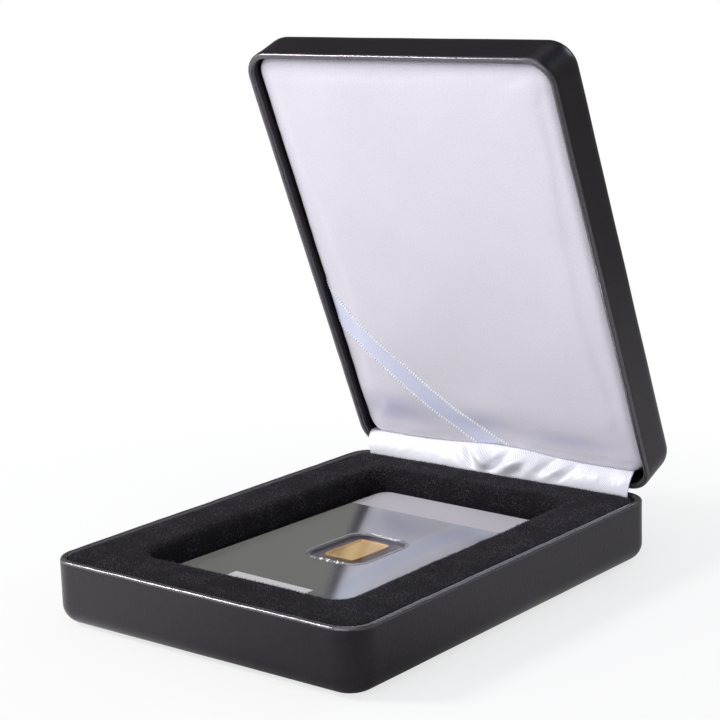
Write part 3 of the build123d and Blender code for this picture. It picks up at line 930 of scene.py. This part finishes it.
def pile_tree():
    """Short fibres, each a three-sided spike, scattered over velvet and leaning at random."""
    tree, given = new_geometry_tree(
        "velvet_pile", Fibres_per_area="Float", Fibre_length="Float", Fibre_radius="Float", Lean="Float",
        Lowest="Float", Seed="Int", Finish="Material",
    )
    place = put(tree, "ShaderNodeSeparateXYZ", {0: put(tree, "GeometryNodeInputPosition").outputs[0]})
    shown = put(
        tree, "FunctionNodeCompare", {0: place.outputs["Z"], 1: given["Lowest"]}, data_type="FLOAT",
        operation="GREATER_THAN",
    )
    roots = put(
        tree, "GeometryNodeDistributePointsOnFaces",
        {
            "Mesh": given["Geometry"], "Selection": shown.outputs[0],
            "Density": given["Fibres per area"], "Seed": given["Seed"],
        },
    )
    fibre = put(
        tree, "GeometryNodeMeshCone",
        {
            "Vertices": 3, "Radius Bottom": given["Fibre radius"], "Radius Top": 0.0,
            "Depth": given["Fibre length"],
        },
        fill_type="NONE",
    )
    back = combine(tree, given["Lean"], -1.0, "MULTIPLY")
    lean = put(
        tree, "FunctionNodeRandomValue", {0: back, 1: given["Lean"], "Seed": given["Seed"]},
        data_type="FLOAT_VECTOR",
    )
    turned = put(
        tree, "FunctionNodeRotateRotation",
        {0: roots.outputs["Rotation"], 1: lean.outputs[0]}, rotation_space="LOCAL",
    )
    grow = put(tree, "FunctionNodeRandomValue", {2: 0.5, 3: 1.3, "Seed": 4}, data_type="FLOAT")
    planted = put(
        tree, "GeometryNodeInstanceOnPoints",
        {
            "Points": roots.outputs["Points"], "Instance": fibre.outputs["Mesh"],
            "Rotation": turned.outputs[0], "Scale": grow.outputs[1],
        },
    )
    end_tree(tree, planted.outputs[0], given["Finish"])
    return tree


def velvet_pile(velvet_piece):
    pile = made_by(
        pile_tree(), "velvet_pile", velvet_piece.data.copy(), Fibres_per_area=5.0e6,
        Fibre_length=0.42 * MM, Fibre_radius=0.05 * MM, Lean=0.6, Lowest=CARD_HIGH.z, Seed=11,
        Finish=FINISH["fibres"],
    )
    pile.visible_glossy = False
    hand_over(pile, "base", None)


def ribbon_tree():
    """A flat strip carried along a path, with a row of loops along each edge."""
    tree, given = new_geometry_tree(
        "edged_ribbon", Width="Float", Thickness="Float", Loop_spacing="Float", Loop_size="Float",
        Finish="Material", Edge_finish="Material",
    )
    profile = put(
        tree, "GeometryNodeCurvePrimitiveQuadrilateral",
        {"Width": given["Width"], "Height": given["Thickness"]},
    )
    fine_profile = put(tree, "GeometryNodeSubdivideCurve", {0: profile.outputs[0], 1: 11})
    strip = put(
        tree, "GeometryNodeCurveToMesh",
        {"Curve": given["Geometry"], "Profile Curve": fine_profile.outputs[0], "Fill Caps": True},
    )
    evenly = put(
        tree, "GeometryNodeResampleCurve", {"Curve": given["Geometry"], "Length": given["Loop spacing"]},
        mode="LENGTH",
    )
    marks = put(tree, "GeometryNodeCurveToPoints", {"Curve": evenly.outputs[0]}, mode="EVALUATED")
    sideways = reckon(tree, "CROSS_PRODUCT", marks.outputs["Tangent"], (0.0, 0.0, 1.0))
    loop = put(tree, "GeometryNodeMeshIcoSphere", {"Radius": given["Loop size"], "Subdivisions": 1})
    rows = put(tree, "GeometryNodeJoinGeometry")
    for row_share in (0.465, -0.465):
        aside = put(
            tree, "ShaderNodeVectorMath",
            {0: sideways, "Scale": combine(tree, given["Width"], row_share, "MULTIPLY")}, operation="SCALE",
        )
        moved = put(
            tree, "GeometryNodeSetPosition", {"Geometry": marks.outputs["Points"], "Offset": aside.outputs[0]}
        )
        row = put(
            tree, "GeometryNodeInstanceOnPoints",
            {
                "Points": moved.outputs[0], "Instance": loop.outputs["Mesh"],
                "Rotation": marks.outputs["Rotation"], "Scale": (1.6, 1.6, 0.8),
            },
        )
        tree.links.new(row.outputs[0], rows.inputs[0])
    real = put(tree, "GeometryNodeRealizeInstances", {0: rows.outputs[0]})
    both = put(tree, "GeometryNodeJoinGeometry")
    for part, finish in ((strip, "Finish"), (real, "Edge finish")):
        dressed = put(
            tree, "GeometryNodeSetMaterial", {"Geometry": part.outputs[0], "Material": given[finish]}
        )
        tree.links.new(dressed.outputs[0], both.inputs[0])
    put(tree, "NodeGroupOutput", {0: both.outputs[0]})
    return tree


def smooth_path(knots, steps):
    """Points of a Catmull-Rom curve through all knots but the first and last."""
    points = []
    for p0, p1, p2, p3 in zip(knots, knots[1:], knots[2:], knots[3:]):
        for step in range(steps):
            t = step / steps
            points.append(0.5 * (
                2 * p1 + (p2 - p0) * t + (2 * p0 - 5 * p1 + 4 * p2 - p3) * t * t
                + (3 * p1 - p0 - 3 * p2 + p3) * t ** 3
            ))
    return points


def corner_ribbon(pad_surface):
    """The strip over the pad's corner, laid on the satin and tucked in at both ends."""
    knots = [Vector(p) for p in (
        (-48.5, 4.0), (-44.0, 12.2), (-38.0, 20.6), (-30.0, 29.3), (-20.0, 39.0), (-10.0, 47.3),
        (-1.0, 53.6), (7.0, 58.5),
    )]
    points = smooth_path(knots, 24)
    head = [knots[0].lerp(points[0], k / 12) for k in range(12)]
    tail = [points[-1].lerp(knots[-1], k / 12) for k in range(1, 13)]
    ribbon = made_by(
        ribbon_tree(), "corner_ribbon",
        path_curve("ribbon_path", [(p.x * MM, p.y * MM, 0.0) for p in head + points + tail]),
        Width=RIBBON_WIDTH, Thickness=0.1 * MM, Loop_spacing=0.78 * MM, Loop_size=0.4 * MM,
        Finish=FINISH["ribbon"], Edge_finish=FINISH["selvedge"],
    )
    flat = ribbon.data.uv_layers.new(name="flat")
    for loop in ribbon.data.loops:
        flat.data[loop.index].uv = ribbon.data.vertices[loop.vertex_index].co.xy
    side, end = -PAD_HALF_WIDTH + 0.12 * MM, PAD_BACK - 0.25 * MM
    proud, loop_height, room = 0.06 * MM, 0.1 * MM, 0.02 * MM
    for vertex in ribbon.data.vertices:
        x, y, z = vertex.co
        over = max(0.0, side - x) + max(0.0, y - end)
        x, y = max(x, side), min(y, end)
        place = pad_surface.ray_cast(Vector((x, y, LID_RIM - 5 * MM)), Vector((0, 0, 1)))[0]
        if place is None:
            place = pad_surface.find_nearest(Vector((x, y, PAD_FACE + 2 * MM)))[0]
            x, y = place.x, place.y
        flattened = math.copysign(min(abs(z), loop_height) + 0.2 * max(0.0, abs(z) - loop_height), z)
        z = place.z - proud + flattened + min(over, 2.5 * MM) * 0.9
        vertex.co = (x, y, max(z, LIFTED_CARD + room))
    hand_over(ribbon, "lid", "certificate_ribbon")


def bead_tree():
    """A low bead carried round a rounded rectangle."""
    tree, given = new_geometry_tree(
        "moulded_bead", Width="Float", Length="Float", Corner_radius="Float", Bead_radius="Float",
        Finish="Material",
    )
    outline = put(
        tree, "GeometryNodeCurvePrimitiveQuadrilateral", {"Width": given["Width"], "Height": given["Length"]}
    )
    rounded = put(
        tree, "GeometryNodeFilletCurve",
        {"Curve": outline.outputs[0], "Radius": given["Corner radius"], "Count": 14}, mode="POLY",
    )
    section = put(
        tree, "GeometryNodeCurvePrimitiveCircle", {"Resolution": 12, "Radius": given["Bead radius"]}
    )
    bead = put(
        tree, "GeometryNodeCurveToMesh", {"Curve": rounded.outputs[0], "Profile Curve": section.outputs[0]}
    )
    end_tree(tree, bead.outputs[0], given["Finish"])
    return tree


def moulded_bead(tree, name, size, corner, radius, level, finish):
    """A bead of this radius round the card's middle, at this level."""
    bead = made_by(
        tree, name, bpy.data.meshes.new(name), Width=size[0], Length=size[1], Corner_radius=corner,
        Bead_radius=radius, Finish=FINISH[finish],
    )
    bead.data.transform(CARD_PLACE @ Matrix.Translation((0, 0, level)))
    hand_over(bead, "card", None)


def clear_cover():
    """The clear film over the window, with its raised rim."""
    half, corner = Vector((8.45, 10.45)) * MM, 3.95 * MM
    high = CARD_HIGH.z
    stations = rounded_stations(*half, corner, 16, 20, 12)
    verts, faces = joined(
        skin_between([ring(stations, corner * share, 0) for share in (1.0, 0.66, 0.33, 0.0)]),
        filled_grid(half.x - corner, half.y - corner, 16, 20, 0),
    )
    domed = [
        (x, y, high - 0.06 * MM + 0.1 * MM * (1 - (x / half.x) ** 2) * (1 - (y / half.y) ** 2))
        for x, y, _ in verts
    ]
    film = piece_from("clear_film", domed, faces, "clear")
    thicken(film, 0.08 * MM)
    film.data.transform(CARD_PLACE)
    hand_over(film, "card", "capsule_film")
    tree = bead_tree()
    for name, grow, size, level in (("outer_rim", 0.62, 0.3, -0.06), ("inner_rim", -0.28, 0.16, 0.0)):
        moulded_bead(
            tree, name, (2 * (half.x + grow * MM), 2 * (half.y + grow * MM)), (4.0 + grow) * MM, size * MM,
            high + level * MM, "rim",
        )


def bar_border():
    """The polished raised border of the bar."""
    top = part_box("gold_bar")[1].z
    moulded_bead(
        bead_tree(), "bar_border", (9.2 * MM, 13.7 * MM), 0.9 * MM, 0.2 * MM, top - 0.06 * MM, "gold_edge",
    )


# Loose satin strip over the hinge

# Folds of the strip: place and width in mm, slant up the strip, height, and where up it they are strongest
GUSSET_FOLDS = (
    (-30.0, 5.0, 3.0, 0.25, 0.9), (-14.0, 1.6, -9.0, -0.35, 0.5), (-8.6, 1.2, -5.0, -1.3, 0.45),
    (-4.6, 2.3, -6.0, 1.6, 0.5), (1.6, 1.7, 6.0, -2.3, 0.15), (6.6, 2.6, 8.0, 2.1, 0.45),
    (11.5, 2.2, 3.0, 0.7, 0.3), (14.6, 1.6, 5.0, -1.3, 0.85), (18.6, 1.5, 7.0, 0.8, 0.6),
    (22.0, 1.2, 6.0, -0.4, 0.2), (29.0, 4.0, 4.0, 0.3, 0.5),
)
# The shares of the strip's height where it leaves the base and where it turns in behind the pad
KNEE, TURN = 0.2, 0.85


def hinge_gusset():
    """The strip from below the velvet over the hinge to behind the pad, with its gathered folds."""
    half, tall, steps, rows = GUSSET_LENGTH / 2, GUSSET_HEIGHT, 330, 44
    turn_out = LID_OPEN.to_3x3()
    inward, behind = ((turn_out @ Vector(way)).yz for way in ((0, -1, 0), (0, 0, 1)))
    high = (LID_OPEN @ Vector((0, PAD_BACK, PAD_FACE + 0.75 * MM))).yz
    verts = []
    for i in range(steps + 1):
        x = -half + 2 * half * i / steps
        u = x / MM
        middle = bell(u, 1, 14)
        left = 1 / (1 + math.exp((u + 12) / 3))
        low = Vector((FRAME_HIGH.y + 0.35 * MM, FRAME_HIGH.z - 3.0 * MM))
        knee = Vector((FRAME_HIGH.y + (0.15 - 1.2 * middle) * MM, FRAME_HIGH.z + (0.1 + 0.25 * middle) * MM))
        top = high + inward * ((1.9 * middle + 0.15) * MM) - behind * (0.5 * left * MM)
        tuck = top - inward * (0.9 * MM) + behind * (3.0 * MM)
        for j in range(rows + 1):
            v = j / rows
            t = min(1.0, max(0.0, (v - KNEE) / (TURN - KNEE)))
            if v < KNEE:
                p = low.lerp(knee, v / KNEE)
            elif v < TURN:
                p = knee.lerp(top, t)
            else:
                p = top.lerp(tuck, (v - TURN) / (1 - TURN))
            arch = math.sin(math.pi * min(1.0, t * 0.97 + 0.03)) ** 0.8
            folds = sum(
                tall_by * math.exp(-((u - place - slant * (t - 0.5)) / wide) ** 2 - ((t - peak) / 0.55) ** 2)
                for place, wide, slant, tall_by, peak in GUSSET_FOLDS
            )
            ripple = 0.25 * soft_wave(x, v * 6 * MM, 0, 4.0 * MM, 3.3)
            ripple += 0.1 * soft_wave(x, v * 9 * MM, 0, 1.4 * MM, 5.1)
            out = arch * (0.95 + 0.35 * soft_wave(x, 0, 0, 15 * MM, 3.3) + folds + ripple)
            ends = -1.9 * t * bell(u, -half / MM, 6) - 1.3 * bell(u, half / MM, 8)
            verts.append((x + ends * MM, p.x - out * MM, p.y + (0.25 * out - 0.1 * arch) * MM))
    faces = []
    for i in range(steps):
        for j in range(rows):
            a = i * (rows + 1) + j
            faces.append((a, a + rows + 1, a + rows + 2, a + 1))
    piece = piece_from("twill_gusset", verts, faces, "twill", outward=False)
    flat = piece.data.uv_layers["flat"].data
    for loop in piece.data.loops:
        i, j = divmod(loop.vertex_index, rows + 1)
        flat[loop.index].uv = (2 * half * i / steps, tall * j / rows)
    thicken(piece, 0.2 * MM, 0.0)
    hand_over(piece, None, "hinge_gusset")
    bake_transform(piece)


cover_both_halves()
velvet_pile(velvet_frame())
velvet_floor()
corner_ribbon(satin_pad())
clear_cover()
bar_border()
hinge_gusset()


# Carried-over pieces get their finishes

WEARS = {
    "shell": ("base_shell", "lid_shell"),
    "foam": ("base_filler_foam", "lid_filler_foam", "well_frame_foam", "lid_pad_foam"),
    "board": ("well_floor_board", "lid_pad_board"),
    "steel": ("base_hinge_leaf", "lid_hinge_leaf", "base_hinge_rivets", "lid_hinge_rivets", "hinge_pin"),
    "card": ("card_back",),
    "card_edge": ("card_core",),
    "mirror": ("card_face",),
    "label": ("card_label",),
    "clear": ("capsule_dish",),
    "gold": ("gold_bar",),
}
for finish, wearers in WEARS.items():
    for wearer in wearers:
        for place in nodes[wearer].material_slots:
            place.material = FINISH[finish]

# The card's mirror shows none of the well's own wall in the photograph
nodes["well_frame_foam"].visible_glossy = False

bpy.context.scene.view_settings.view_transform = "Standard"
